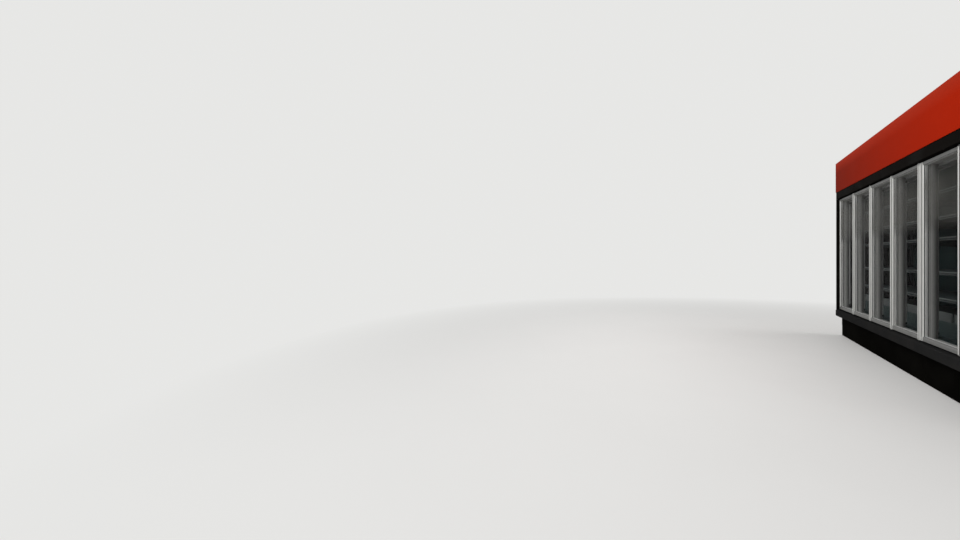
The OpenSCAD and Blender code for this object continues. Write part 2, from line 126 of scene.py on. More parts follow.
# Materials
class Maker:
    """A Principled material with short ways to add its texture nodes."""

    def __init__(self, name, color, roughness, metallic=0.0, **sockets):
        self.mat = bpy.data.materials.new(name)
        self.mat.use_nodes = True
        self.tree = self.mat.node_tree
        self.bsdf = self.tree.nodes["Principled BSDF"]
        self.roughness = roughness
        self.bsdf.inputs["Base Color"].default_value = (*color, 1)
        self.bsdf.inputs["Roughness"].default_value = roughness
        self.bsdf.inputs["Metallic"].default_value = metallic
        for socket, value in sockets.items():
            self.bsdf.inputs[socket].default_value = value
        self.place = self.add("ShaderNodeTexCoord").outputs["Object"]
        self.normal = None

    def add(self, kind, **values):
        node = self.tree.nodes.new(kind)
        for key, value in values.items():
            setattr(node, key, value)
        return node

    def link(self, a, b):
        self.tree.links.new(a, b)

    def fill(self, socket, value):
        """Links a socket, or sets a plain value."""
        if hasattr(value, "is_linked"):
            self.link(value, socket)
        else:
            socket.default_value = value

    def noise(self, scale, stretch=(1, 1, 1), detail=3.0, rough=0.5):
        mapping = self.add("ShaderNodeMapping")
        mapping.inputs["Scale"].default_value = stretch
        self.link(self.place, mapping.inputs["Vector"])
        node = self.add("ShaderNodeTexNoise")
        node.inputs["Scale"].default_value = scale
        node.inputs["Detail"].default_value = detail
        node.inputs["Roughness"].default_value = rough
        self.link(mapping.outputs["Vector"], node.inputs["Vector"])
        return node.outputs["Fac"]

    def along(self, axis):
        node = self.add("ShaderNodeSeparateXYZ")
        self.link(self.place, node.inputs["Vector"])
        return node.outputs[axis]

    def spread(self, value, low, high, start=0.3, end=0.7):
        """Maps start and end to low and high, and holds the ends."""
        node = self.add("ShaderNodeMapRange")
        node.inputs["From Min"].default_value = start
        node.inputs["From Max"].default_value = end
        node.inputs["To Min"].default_value = low
        node.inputs["To Max"].default_value = high
        self.link(value, node.inputs["Value"])
        return node.outputs["Result"]

    def math(self, operation, a, b=0.5):
        node = self.add("ShaderNodeMath", operation=operation)
        self.fill(node.inputs[0], a)
        self.fill(node.inputs[1], b)
        return node.outputs[0]

    def mix(self, factor, a, b):
        node = self.add("ShaderNodeMix", data_type="RGBA")
        self.link(factor, node.inputs["Factor"])
        self.fill(node.inputs["A"], a if hasattr(a, "is_linked") else (*a, 1))
        self.fill(node.inputs["B"], b if hasattr(b, "is_linked") else (*b, 1))
        return node.outputs["Result"]

    def paint(self, color):
        self.link(color, self.bsdf.inputs["Base Color"])

    def present_paint(self):
        return self.bsdf.inputs["Base Color"].links[0].from_socket

    def vary_roughness(self, value, spread):
        low = self.roughness - spread
        high = self.roughness + spread
        self.link(self.spread(value, low, high, 0.2, 0.8), self.bsdf.inputs["Roughness"])

    def edges(self, radius):
        """Rounds the edges in the shading, and gives 1 on an edge and 0 on a flat face."""
        bevel = self.add("ShaderNodeBevel", samples=4)
        bevel.inputs["Radius"].default_value = radius
        self.normal = bevel.outputs["Normal"]
        flat = self.add("ShaderNodeNewGeometry")
        turn = self.add("ShaderNodeVectorMath", operation="DOT_PRODUCT")
        self.link(self.normal, turn.inputs[0])
        self.link(flat.outputs["Normal"], turn.inputs[1])
        return self.spread(turn.outputs["Value"], 1, 0, 0.85, 1.0)

    def bump(self, height, strength, distance):
        node = self.add("ShaderNodeBump")
        node.inputs["Strength"].default_value = strength
        node.inputs["Distance"].default_value = distance
        self.link(height, node.inputs["Height"])
        if self.normal:
            self.link(self.normal, node.inputs["Normal"])
        self.link(node.outputs["Normal"], self.bsdf.inputs["Normal"])


def shade(color, factor):
    return tuple(c * factor for c in color)


def painted(name, color, roughness, dust, worn=None, grain=900, far=1.0, **sockets):
    """Paint with dust in clouds and worn edges, and painted shade that darkens it by far towards
    the row's far end.
    """
    m = Maker(name, color, roughness, **sockets)
    cloud = m.noise(3.0, detail=6)
    paint = m.mix(m.spread(cloud, 0, 1, 0.45, 0.75), color, dust)
    # Painted shade: the colour darkens by far towards the row's far end
    if far < 1:
        paint = m.mix(m.spread(m.along("X"), 1, 0, *PAINT_SHADE_X), paint, shade(color, far))
    edge = m.edges(0.0015)
    if worn:
        rub = m.math("MULTIPLY", edge, m.spread(m.noise(40.0, detail=4), 0, 0.8, 0.5, 0.7))
        paint = m.mix(rub, paint, worn)
    m.paint(paint)
    m.vary_roughness(m.noise(14.0, detail=5), 0.06)
    m.bump(m.noise(grain, detail=2), 0.08, 0.0005)
    return m.mat


def satin_aluminium(name="satin_aluminium", color=(0.56, 0.56, 0.54), metallic=0.45):
    """Brushed and anodised. Gives the Maker, so that a material can build on it."""
    m = Maker(name, color, 0.42, metallic, IOR=1.12)
    streak = m.noise(60.0, stretch=(4, 4, 0.05), detail=4)
    paint = m.mix(m.spread(streak, 0, 1), shade(color, 0.93), shade(color, 1.05))
    smudge = m.noise(5.0, detail=7, rough=0.6)
    m.paint(m.mix(m.spread(smudge, 0, 0.5, 0.55, 0.8), paint, shade(color, 0.7)))
    m.edges(0.001)
    m.vary_roughness(m.noise(9.0, detail=5), 0.06)
    m.bump(m.noise(700.0, stretch=(1, 1, 0.02), detail=2), 0.06, 0.0003)
    return m


def upright_aluminium():
    """The posts between the doors: a duller cover strip, and flanks darkened inwards by painted
    shade.
    """
    color = (0.80, 0.80, 0.77)
    m = satin_aluminium("upright_aluminium", color, 0.1)
    shine = m.present_paint()
    depth = m.along("Y")
    shine = m.mix(m.math("LESS_THAN", depth, COVER_STRIP_Y), shine, shade(color, 0.66))
    # Painted shade: the flanks darken towards the back, inside the cabinet
    m.paint(m.mix(m.spread(depth, 0, 1, *FLANK_SHADE_Y), shine, shade(color, 0.15)))
    return m.mat


def door_frame_metal():
    """Pale stiles, with duller bars across the door's top and bottom between them."""
    low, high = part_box("door_frame_1")
    width, height = high.x - low.x, high.z - low.z
    m = satin_aluminium("door_frame_metal")
    shine = m.present_paint()
    share = m.add("ShaderNodeSeparateXYZ")
    m.link(m.add("ShaderNodeTexCoord").outputs["Generated"], share.inputs["Vector"])
    from_middle = m.math("ABSOLUTE", m.math("SUBTRACT", share.outputs["X"], 0.5))
    between = m.math("LESS_THAN", from_middle, 0.5 - (STILE - BEAD) / width)
    ends = m.math("MAXIMUM",
                  m.math("LESS_THAN", share.outputs["Z"], BOTTOM_RAIL / height),
                  m.math("GREATER_THAN", share.outputs["Z"], 1 - TOP_RAIL / height))
    streak = m.noise(30.0, stretch=(0.1, 1, 1), detail=4)
    dull = m.mix(streak, (0.13, 0.13, 0.125), (0.17, 0.17, 0.165))
    m.paint(m.mix(m.math("MULTIPLY", between, ends), shine, dull))
    return m.mat


def red_panel():
    """Gloss red, with painted shade that browns it towards the row's far end, and a painted
    highlight that makes it a little paler along the top.
    """
    color = (0.375, 0.019, 0.003)
    far_shade_brown = (0.15, 0.014, 0.004)
    pale = (0.37, 0.034, 0.014)
    m = Maker("red_panel", color, 0.30, metallic=0.35, IOR=1.02)
    m.bsdf.inputs["Specular Tint"].default_value = (0.42, 0.016, 0.005, 1)
    # Painted shade: browner towards the row's far end
    paint = m.mix(m.spread(m.along("X"), 0.85, 0, *RED_SHADE_X), color, far_shade_brown)
    # Painted highlight: a little paler along the top
    paint = m.mix(m.spread(m.along("Z"), 0, 1, *RED_HIGHLIGHT_Z), paint, pale)
    cloud = m.noise(1.6, stretch=(0.5, 1, 2.5), detail=3)
    paint = m.mix(m.spread(cloud, 0, 0.25, 0.15, 0.85), paint, shade(color, 0.7))
    m.edges(0.002)
    m.paint(paint)
    m.vary_roughness(m.noise(4.0, detail=2), 0.03)
    m.bump(m.noise(1.1, stretch=(1, 1, 2), detail=0), 0.03, 0.004)
    return m.mat


def door_glass():
    """Clear panes, with a thin grey layer on the outer face of their upper part: a painted
    reflection, weaker near the top.
    """
    clear = (0, 0, 0)
    m = Maker("door_glass", clear, 0.10, Alpha=INNER_FACES, IOR=1.08)
    height = m.along("Z")
    cloud = m.spread(m.noise(2.5, detail=5), 0.5, 1)
    painted_reflection = m.math("MULTIPLY", m.spread(height, 0, 1, *REFLECTION_FOOT_Z), cloud)
    painted_reflection = m.math("MULTIPLY", painted_reflection, m.spread(height, 1, 0.4, *REFLECTION_TOP_Z))
    middle_of_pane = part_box("door_glass_1")[0].y + PANE / 2
    outer_face = m.math("LESS_THAN", m.along("Y"), middle_of_pane)
    painted_reflection = m.math("MULTIPLY", painted_reflection, outer_face)
    # Painted reflection: grey on the outer face's upper part
    m.paint(m.mix(painted_reflection, clear, (0.073, 0.072, 0.064)))
    outer = m.spread(painted_reflection, OUTER_FACE_CLEAR, OUTER_FACE_REFLECTION, 0, 1)
    density = m.math("MAXIMUM", m.math("MULTIPLY", outer, outer_face), INNER_FACES)
    m.link(density, m.bsdf.inputs["Alpha"])
    m.vary_roughness(m.noise(6.0, detail=6), 0.02)
    m.bump(m.noise(1.2, detail=1), 0.05, 0.002)
    return m.mat


def galvanised():
    color = (0.47, 0.48, 0.49)
    m = Maker("galvanised", color, 0.42, metallic=0.9)
    cells = m.add("ShaderNodeTexVoronoi")
    cells.inputs["Scale"].default_value = 70
    m.link(m.place, cells.inputs["Vector"])
    spangle = m.spread(cells.outputs["Distance"], 0, 1, 0.1, 0.8)
    m.paint(m.mix(spangle, shade(color, 0.8), color))
    m.vary_roughness(m.noise(30.0, detail=4), 0.08)
    return m.mat


def perforated_liner():
    """Dark sheet with a fine field of round holes on its upright faces."""
    color = (0.036, 0.068, 0.069)
    m = Maker("perforated_liner", color, 0.45, IOR=1.1)
    off = []
    for axis in ("X", "Z"):
        cell = m.math("FRACT", m.math("DIVIDE", m.along(axis), HOLE_PITCH))
        off.append(m.math("POWER", m.math("SUBTRACT", cell, 0.5), 2.0))
    away = m.math("SQRT", m.math("ADD", *off))
    hole = m.spread(away, 1, 0, *HOLE_EDGE)
    cloud = m.noise(3.0, detail=6)
    sheet = m.mix(m.spread(cloud, 0, 1, 0.45, 0.75), color, shade(color, 1.5))
    m.paint(m.mix(hole, sheet, shade(color, 0.6)))
    return m.mat


# By the slots of the record. Each painted one gives its colour, roughness, dust and worn edges.
MATERIALS = {
    "galvanised": galvanised(),
    "black_paint": painted(
        "black_paint", (0.0047, 0.0039, 0.0033), 0.5, (0.0085, 0.0080, 0.0075),
        (0.03, 0.03, 0.03), IOR=1.02),
    "dark_liner": painted(
        "dark_liner", (0.035, 0.053, 0.053), 0.45, (0.043, 0.058, 0.058), IOR=1.1),
    "grey_skin": painted(
        "grey_skin", (0.30, 0.31, 0.32), 0.45, (0.277, 0.283, 0.288), (0.42, 0.42, 0.42)),
    # The bumper gets painted shade, half as bright at the row's far end
    "bumper_grey": painted(
        "bumper_grey", (0.0135, 0.0135, 0.0135), 0.5, (0.020, 0.019, 0.018),
        (0.045, 0.045, 0.045), grain=500, far=0.5, IOR=1.03),
    "red_panel": red_panel(),
    "satin_aluminium": satin_aluminium().mat,
    "hinge_steel": painted(
        "hinge_steel", (0.35, 0.35, 0.35), 0.35, (0.3, 0.3, 0.3), metallic=0.9),
    "light_cover": painted("light_cover", (0.36, 0.37, 0.365), 0.4, (0.32, 0.33, 0.32)),
    "pale_plastic": painted("pale_plastic", (0.34, 0.35, 0.345), 0.42, (0.27, 0.27, 0.26)),
    "dark_shelf": painted(
        "dark_shelf", (0.038, 0.050, 0.051), 0.42, (0.045, 0.060, 0.060),
        (0.08, 0.085, 0.085), IOR=1.1),
    "door_glass": door_glass(),
    "black_rubber": painted(
        "black_rubber", (0.012, 0.012, 0.012), 0.6, (0.020, 0.019, 0.018), IOR=1.1),
}
# For single nodes and pieces
PERFORATED = perforated_liner()
RISER_GREY = painted(
    "riser_grey", (0.105, 0.118, 0.116), 0.45, (0.085, 0.095, 0.093), IOR=1.15)
RAIL_GREY = painted(
    "rail_grey", (0.175, 0.195, 0.190), 0.45, (0.15, 0.165, 0.16), IOR=1.15)
# Darker than the black paint: painted shade under the bumper, on the kick plate and the side kicks
PLINTH_SHADED_BLACK = painted(
    "plinth_shaded_black", (0.0024, 0.0022, 0.0018), 0.6, (0.0045, 0.0042, 0.0036),
    (0.02, 0.02, 0.02), IOR=1.01)
TICKET = painted("ticket", (0.034, 0.042, 0.043), 0.4, (0.040, 0.046, 0.046), IOR=1.1)
FRAME_METAL = door_frame_metal()
UPRIGHT_METAL = upright_aluminium()
SPACER_METAL = satin_aluminium("spacer_aluminium", (0.72, 0.72, 0.70), 0.2).mat
SEAL_GREY = painted("seal_grey", (0.60, 0.60, 0.58), 0.6, (0.50, 0.50, 0.48), IOR=1.2)
BEAD_WHITE = painted("bead_white", (0.74, 0.74, 0.72), 0.5, (0.62, 0.62, 0.60), IOR=1.2)


def dress_frame():
    for part in frame["record"]["subparts"]:
        node = nodes[part["node"]]
        node.data.materials.clear()
        node.data.materials.append(MATERIALS[part["material_slot"]])
    special = {"duct_panel": PERFORATED, "deck_riser": RISER_GREY, "price_rails": RAIL_GREY,
               "mullions": UPRIGHT_METAL, "kick_plate": PLINTH_SHADED_BLACK, "side_kicks": PLINTH_SHADED_BLACK}
    for k in DOORS:
        special[f"door_frame_{k}"] = FRAME_METAL
    for name, material in special.items():
        nodes[name].data.materials[0] = material


dress_frame()


# Mesh tools
class Solids:
    """One mesh put together in the row frame."""

    def __init__(self):
        self.bm = bmesh.new()

    def loft(self, loops, closed=False):
        """Joins loops of as many points; closed joins the last to the first, or else caps both."""
        rows = [[self.bm.verts.new(point) for point in loop] for loop in loops]
        pairs = list(zip(rows, rows[1:]))
        if closed:
            pairs.append((rows[-1], rows[0]))
        for a, b in pairs:
            for i in range(len(a)):
                j = (i + 1) % len(a)
                self.bm.faces.new((a[i], a[j], b[j], b[i]))
        if not closed:
            self.bm.faces.new(rows[0][::-1])
            self.bm.faces.new(rows[-1])

    def box(self, low, high):
        (x0, y0, z0), (x1, y1, z1) = low, high
        corners = ((x0, y0), (x1, y0), (x1, y1), (x0, y1))
        self.loft([[(x, y, z) for x, y in corners] for z in (z0, z1)])

    def along_x(self, outline, start, end):
        """An outline in Y and Z, drawn along X."""
        self.loft([[(x, y, z) for y, z in outline] for x in (start, end)])

    def ring(self, low, high, section):
        """Carries a section of (inset, y) points round an upright rectangle, mitred."""
        (x0, z0), (x1, z1) = low, high
        corners = ((x0, z0, 1, 1), (x1, z0, -1, 1), (x1, z1, -1, -1), (x0, z1, 1, -1))
        self.loft([[(x + sx * inset, y, z + sz * inset) for inset, y in section]
                   for x, z, sx, sz in corners], closed=True)

    def turned(self, centre, direction, section, segments=16):
        """A section of (radius, height) points turned round an axis, with a disc at each end."""
        turn = Vector(direction).to_track_quat("Z", "Y").to_matrix().to_4x4()
        place = Matrix.Translation(centre) @ turn
        angles = [math.tau * i / segments for i in range(segments)]
        self.loft([[place @ Vector((r * math.cos(a), r * math.sin(a), h)) for a in angles]
                   for r, h in section])

    def screw(self, centre, direction, radius=0.005):
        """A button head with a round socket."""
        head = ((1, 0), (1, 0.25), (0.8, 0.55), (0.42, 0.62), (0.38, 0.2), (0.05, 0.2))
        section = [(radius * r, radius * h) for r, h in head]
        self.turned(centre, direction, section, segments=12)

    def finish(self, name, slot, body, material=None, bevel=0.0):
        bmesh.ops.recalc_face_normals(self.bm, faces=self.bm.faces)
        mesh = bpy.data.meshes.new(name)
        self.bm.to_mesh(mesh)
        self.bm.free()
        mesh.materials.append(material or MATERIALS[slot])
        piece = bpy.data.objects.new(name, mesh)
        scene.collection.objects.link(piece)
        if bevel:
            edge = piece.modifiers.new("edge", "BEVEL")
            edge.width = bevel
            edge.segments = 2
            edge.limit_method = "ANGLE"
        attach(piece, body)
        return piece


def smooth(piece):
    for face in piece.data.polygons:
        face.use_smooth = True


def door_rect(k):
    """A door's lower left and upper right corners in X and Z, and its front's Y."""
    low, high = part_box(f"door_frame_{k}")
    return (low.x, low.z), (high.x, high.z), low.y


def glass_opening(k):
    """The rectangle inside the frame's bars, where the glass shows."""
    (x0, z0), (x1, z1), _ = door_rect(k)
    return (x0 + STILE, z0 + BOTTOM_RAIL), (x1 - STILE, z1 - TOP_RAIL)


def column_span(c):
    """Where the shelves of a column start and end in X."""
    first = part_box(f"door_frame_{2 * c - 1}")[0].x
    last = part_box(f"door_frame_{2 * c}")[1].x
    trim = (DOOR_GAP - SHELF_GAP) / 2
    return first - trim, last + trim


def module_split():
    """X of the middle of the joint between the two modules."""
    return (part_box("door_frame_4")[1].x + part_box("door_frame_5")[0].x) / 2


# Pieces on each door
def spacer(k):
    """Aluminium spacer bar between the two panes, with the dark sealant outside it."""
    low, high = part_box(f"door_glass_{k}")
    y0 = low.y + PANE
    y1 = high.y - PANE
    fit = 0.0002
    shoulder = 0.0025
    sealant_outer, sealant_inner = 0.001, 0.0083
    bar_outer, bar_flat, bar_inner = 0.0085, 0.0165, 0.0175
    bar = Solids()
    bar.ring((low.x, low.z), (high.x, high.z), [
        (bar_outer, y0 + fit), (bar_flat, y0 + fit), (bar_inner, y0 + shoulder),
        (bar_inner, y1 - shoulder), (bar_flat, y1 - fit), (bar_outer, y1 - fit)])
    bar.finish(f"glass_spacer_{k}", "satin_aluminium", f"door_{k}", SPACER_METAL)
    sealant = Solids()
    sealant.ring((low.x, low.z), (high.x, high.z), [
        (sealant_outer, y0 + fit), (sealant_inner, y0 + fit),
        (sealant_inner, y1 - fit), (sealant_outer, y1 - fit)])
    sealant.finish(f"glass_sealant_{k}", "black_rubber", f"door_{k}")


def glazing_gaskets(k):
    """Rubber lips that close the frame against the glass, in front and behind."""
    lip = ((-0.001, 0), (0.0026, 0), (0.0023, 0.0009), (0.0010, 0.0020), (-0.001, 0.0022))
    low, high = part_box(f"door_glass_{k}")
    s = Solids()
    for face, side in ((low.y, -1), (high.y, 1)):
        s.ring(*glass_opening(k), [(inset, face + side * lift) for inset, lift in lip])
    s.finish(f"glazing_gaskets_{k}", "black_rubber", f"door_{k}")


def magnetic_seal(k):
    """Ribbed bellows with a flat magnet strip at its back."""
    ribs = ((0.003, 0), (0.001, 0.0015), (0.003, 0.0030), (0, 0.0052))
    low, high, front = door_rect(k)
    base = front + LEAF
    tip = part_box(f"door_seal_{k}")[1].y
    outer = SEAL_INSET
    inner = SEAL_INSET + SEAL_WIDTH
    section = [(outer + into, base + back) for into, back in ribs]
    section += [(outer, tip), (inner, tip)]
    section += [(inner - into, base + back) for into, back in ribs[::-1]]
    s = Solids()
    s.ring(low, high, section)
    seal = s.finish(f"magnetic_seal_{k}", "black_rubber", f"door_{k}", SEAL_GREY)
    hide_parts(f"door_seal_{k}")


def corner_lines(k):
    """Hairline joints where the top and bottom bars butt against the stiles."""
    (x0, z0), (x1, z1), front = door_rect(k)
    half = 0.00025
    lift = 0.00012
    faces = ((front, -1, BEAD), (front + LEAF, 1, CHAMFER))
    s = Solids()
    for x, sx in ((x0, 1), (x1, -1)):
        for z, sz, bar in ((z0, 1, BOTTOM_RAIL), (z1, -1, TOP_RAIL)):
            for y, out, slope in faces:
                reach = STILE - slope
                xs = sorted((x + sx * (reach - half), x + sx * (reach + half)))
                ys = sorted((y, y + out * lift))
                zs = sorted((z + sz * CHAMFER, z + sz * (bar - slope)))
                s.box((xs[0], ys[0], zs[0]), (xs[1], ys[1], zs[1]))
    s.finish(f"corner_lines_{k}", "black_rubber", f"door_{k}")


def rubber_shade_lip(solids, x, into, front, z0, z1):
    """A rubber lip over an upright's front corner, which also darkens the lit chamfer as painted
    shade; into points from the edge to the metal.
    """
    outline = ((0.0014, 0.0004), (-0.0004, 0.0021), (-0.0004, 0.0058),
               (0.0006, 0.0058), (0.0024, 0.0012))
    solids.loft([[(x + into * inset, front + depth, z) for inset, depth in outline]
                 for z in (z0, z1)])


def edge_lips_and_shade_bands(k):
    """On a door's long edges, the front lip and the polymer band between its two shells, both also
    painted shade for the gaps' shadow lines.
    """
    (x0, z0), (x1, z1), front = door_rect(k)
    end = 0.003
    lift = 0.00025
    shade_band_front, shade_band_back = front + 0.0140, front + 0.0260
    s = Solids()
    for x, into in ((x0, 1), (x1, -1)):
        rubber_shade_lip(s, x, into, front, z0 + end, z1 - end)
        s.box((x - lift, shade_band_front, z0 + end), (x + lift, shade_band_back, z1 - end))
    s.finish(f"edge_lips_and_shade_bands_{k}", "black_rubber", f"door_{k}")


def joint_shade_lips():
    """The same lips on the cover strip between the two modules, also painted shade at its sides.
    """
    (_, z0), (x1, z1), front = door_rect(4)
    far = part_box("door_frame_5")[0].x
    proud = 0.0004
    end = 0.001
    s = Solids()
    for x, into in ((x1 + DOOR_GAP, 1), (far - DOOR_GAP, -1)):
        rubber_shade_lip(s, x, into, front - proud, z0 + end, z1 - end)
    s.finish("joint_shade_lips", "black_rubber", "cabinet")


def rear_beads(k):
    """Pale glazing bead that lines the frame's opening behind the glass."""
    glass_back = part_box(f"door_glass_{k}")[1].y
    back = door_rect(k)[2] + LEAF
    s = Solids()
    s.ring(*glass_opening(k), [
        (-0.0004, glass_back + 0.0024), (0.0007, glass_back + 0.0026),
        (0.0009, back - 0.0016), (-0.0004, back - 0.0012)])
    s.finish(f"rear_beads_{k}", "pale_plastic", f"door_{k}", BEAD_WHITE)


def pin_bushes(k):
    """Plastic bushes round the pins, on the top and bottom of the door."""
    collar = ((0.0032, 0), (0.0032, 0.0004), (0.0026, 0.0008),
              (0.0006, 0.0008), (0.0004, 0.0001), (0.0004, 0))
    section = [(PIN + out, height) for out, height in collar]
    (_, z0), (x1, z1), front = door_rect(k)
    s = Solids()
    for z, up in ((z1, 1), (z0, -1)):
        s.turned((x1 - PIVOT_INSET, front + PIVOT_SET, z), (0, 0, up), section, segments=24)
    smooth(s.finish(f"pin_bushes_{k}", "black_rubber", f"door_{k}"))


def edge_screws(k):
    """Screws that hold the corner cleats, on the door's outer edges."""
    (x0, z0), (x1, z1), front = door_rect(k)
    radius = 0.0035
    first, second = 0.018, 0.036
    y = front + 0.62 * LEAF
    s = Solids()
    for x, out in ((x0, -1), (x1, 1)):
        for z in (z0 + first, z0 + second, z1 - first, z1 - second):
            s.screw((x, y, z), (out, 0, 0), radius)
    smooth(s.finish(f"edge_screws_{k}", "hinge_steel", f"door_{k}"))


for k in DOORS:
    for build in (spacer, glazing_gaskets, magnetic_seal, corner_lines, edge_lips_and_shade_bands, rear_beads,
                  pin_bushes, edge_screws):
        build(k)
joint_shade_lips()


# Pieces inside the cabinet
def ticket_strips():
    """Bowed strips held between the lips of the price rails."""
    bare_top = 0.011
    lip = 0.002
    bow = 0.0022
    setback, thickness = 0.0034, 0.0008
    end = 0.001
    steps = 6
    s = Solids()
    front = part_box("price_rails")[0].y
    for n in SHELVES:
        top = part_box(f"shelf_{n}")[1].z
        for c in COLUMNS:
            x0, x1 = column_span(c)
            outer = []
            inner = []
            for i in range(steps + 1):
                share = i / steps
                z = top - PRICE_RAIL + lip + (PRICE_RAIL - lip - bare_top) * share
                y = front + setback - bow * math.sin(math.pi * share)
                outer.append((y, z))
                inner.append((y + thickness, z))
            s.along_x(outer + inner[::-1], x0 + end, x1 - end)
    s.finish("ticket_strips", "pale_plastic", "cabinet", TICKET)


def rail_ends():
    """End stops of the price rails."""
    thickness = 0.002
    inset_y = 0.0003
    inset_z = 0.0002
    s = Solids()
    low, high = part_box("price_rails")
    for n in SHELVES:
        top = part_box(f"shelf_{n}")[1].z
        for c in COLUMNS:
            for x, out in zip(column_span(c), (-1, 1)):
                x0, x1 = sorted((x, x + out * thickness))
                s.box((x0, low.y + inset_y, top - PRICE_RAIL + inset_z),
                      (x1, high.y - inset_y, top - inset_z))
    s.finish("rail_ends", "black_rubber", "cabinet", bevel=0.0005)


def outlet_honeycomb():
    """Thin hexagonal cells that straighten the falling air."""
    low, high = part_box("air_outlet")
    size = 0.0062
    rim = 0.018
    both_ends = 0.030
    lift, depth = 0.004, 0.010
    weld = 0.0002
    step_x = size * math.sqrt(3)
    step_y = size * 1.5
    z0 = low.z + lift
    z1 = z0 + depth
    first_y = low.y + rim
    rows = int((high.y - rim - first_y) / step_y)
    angles = [math.radians(60 * n) for n in range(4)]
    s = Solids()
    for c in COLUMNS:
        x0, x1 = column_span(c)
        count = int((x1 - x0 - both_ends) / step_x)
        for row in range(rows + 1):
            y = first_y + row * step_y
            for i in range(count):
                x = x0 + rim + (i + (row % 2) / 2) * step_x
                corner = [(x + size * math.sin(a), y + size * math.cos(a)) for a in angles]
                for (ax, ay), (bx, by) in zip(corner, corner[1:]):
                    wall = ((ax, ay, z0), (bx, by, z0), (bx, by, z1), (ax, ay, z1))
                    s.bm.faces.new([s.bm.verts.new(p) for p in wall])
    bmesh.ops.remove_doubles(s.bm, verts=s.bm.verts, dist=weld)
    s.finish("outlet_honeycomb", "pale_plastic", "cabinet")


def mullion_middle(m):
    """X of the middle of mullion m, counted from 0 at the left-hand end."""
    sill_low, sill_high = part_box("sill")
    strip = SEAL_INSET + SEAL_WIDTH + MULLION_LIP
    if m == 0:
        return (sill_low.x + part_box("door_frame_1")[0].x + strip) / 2
    if m == len(DOORS):
        return (sill_high.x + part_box(f"door_frame_{m}")[1].x - strip) / 2
    return (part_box(f"door_frame_{m}")[1].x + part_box(f"door_frame_{m + 1}")[0].x) / 2


def light_caps():
    """Caps on the ends of each light strip."""
    low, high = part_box("light_strips")
    radius = 0.0125
    centre_back = 0.0055
    past, over = 0.012, 0.010
    start, sweep, steps = -26, 232, 12
    arc = [math.radians(start + i * sweep / steps) for i in range(steps + 1)]
    y = low.y + centre_back
    s = Solids()
    for m in range(len(DOORS) + 1):
        x = mullion_middle(m)
        outline = [(x + radius * math.cos(a), y + radius * math.sin(a)) for a in arc]
        for span in ((low.z - past, low.z + over), (high.z - over, high.z + past)):
            s.loft([[(px, py, z) for px, py in outline] for z in span])
    smooth(s.finish("light_caps", "black_rubber", "cabinet", bevel=0.0008))


def liner_screws():
    """Heads of the screws that hold the duct panels and the deck."""
    margin = 0.08
    per_column = 3
    from_ends = 0.03
    from_front, from_back = 0.04, 0.05
    s = Solids()
    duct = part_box("duct_panel")[0].y
    deck_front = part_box("deck")[0].y
    deck_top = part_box("deck")[1].z
    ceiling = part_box("ceiling_panel")[0].z
    heights = (deck_top + from_ends, 0.5 * (deck_top + ceiling), ceiling - from_ends)
    for c in COLUMNS:
        x0, x1 = column_span(c)
        for i in range(per_column):
            x = x0 + margin + i * (x1 - x0 - 2 * margin) / (per_column - 1)
            for z in heights:
                s.screw((x, duct, z), (0, -1, 0))
            for y in (deck_front + from_front, duct - from_back):
                s.screw((x, y, deck_top), (0, 0, 1))
    smooth(s.finish("liner_screws", "hinge_steel", "cabinet"))


ticket_strips()
rail_ends()
outlet_honeycomb()
light_caps()
liner_screws()


# Pieces outside the cabinet
def housing_screws():
    """Screws on the plinth, the end walls, the back, the roof and the pivot plates."""
    wall_radius, sheet_radius, pivot_radius = 0.0047, 0.006, 0.0030
    sunk = 0.003
    margin = 0.05
    from_edge = 0.04
    roof_front = 0.13
    spacing, per_row = 0.45, 9
    per_plinth = 7
    plinth_heights = (0.04, 0.23)
    wall_heights = (0.20, 1.10)
    back_heights = (0.19, 1.05)
    plate_gap, plate_back, plate_half = 0.0035, 0.003, 0.007
    s = Solids()
    black = Solids()
    kick_low, kick_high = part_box("kick_plate")
    length = kick_high.x - kick_low.x - 2 * margin
    for i in range(per_plinth):
        x = kick_low.x + margin + i * length / (per_plinth - 1)
        for z in plinth_heights:
            black.screw((x, kick_low.y, z), (0, -1, 0), sheet_radius)
    wall_low, wall_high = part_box("end_walls")
    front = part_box("sill")[0].y
    for x, out in ((wall_low.x, -1), (wall_high.x, 1)):
        for y in (front + margin, 0.0, wall_high.y - margin):
            for z in (*wall_heights, wall_high.z - margin):
                s.screw((x - out * sunk, y, z), (out, 0, 0), wall_radius)
    across = [(i - (per_row - 1) / 2) * spacing for i in range(per_row)]
    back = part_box("back_wall")[1]
    for x in across:
        for z in (*back_heights, back.z - from_edge):
            s.screw((x, back.y - sunk, z), (0, 1, 0), wall_radius)
    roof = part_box("roof")[1]
    for x in across:
        for y in (front + roof_front, roof.y - from_edge):
            s.screw((x, y, roof.z), (0, 0, 1), sheet_radius)
    for k in DOORS:
        (_, z0), (x1, z1), door_front = door_rect(k)
        pivot = x1 - PIVOT_INSET
        y = door_front + LEAF + plate_back
        for x in (pivot - plate_half, pivot + plate_half):
            s.screw((x, y, z0 - plate_gap), (0, 0, 1), pivot_radius)
            s.screw((x, y, z1 + plate_gap), (0, 0, -1), pivot_radius)
    smooth(s.finish("housing_screws", "hinge_steel", "cabinet"))
    smooth(black.finish("plinth_screws", "black_paint", "cabinet"))


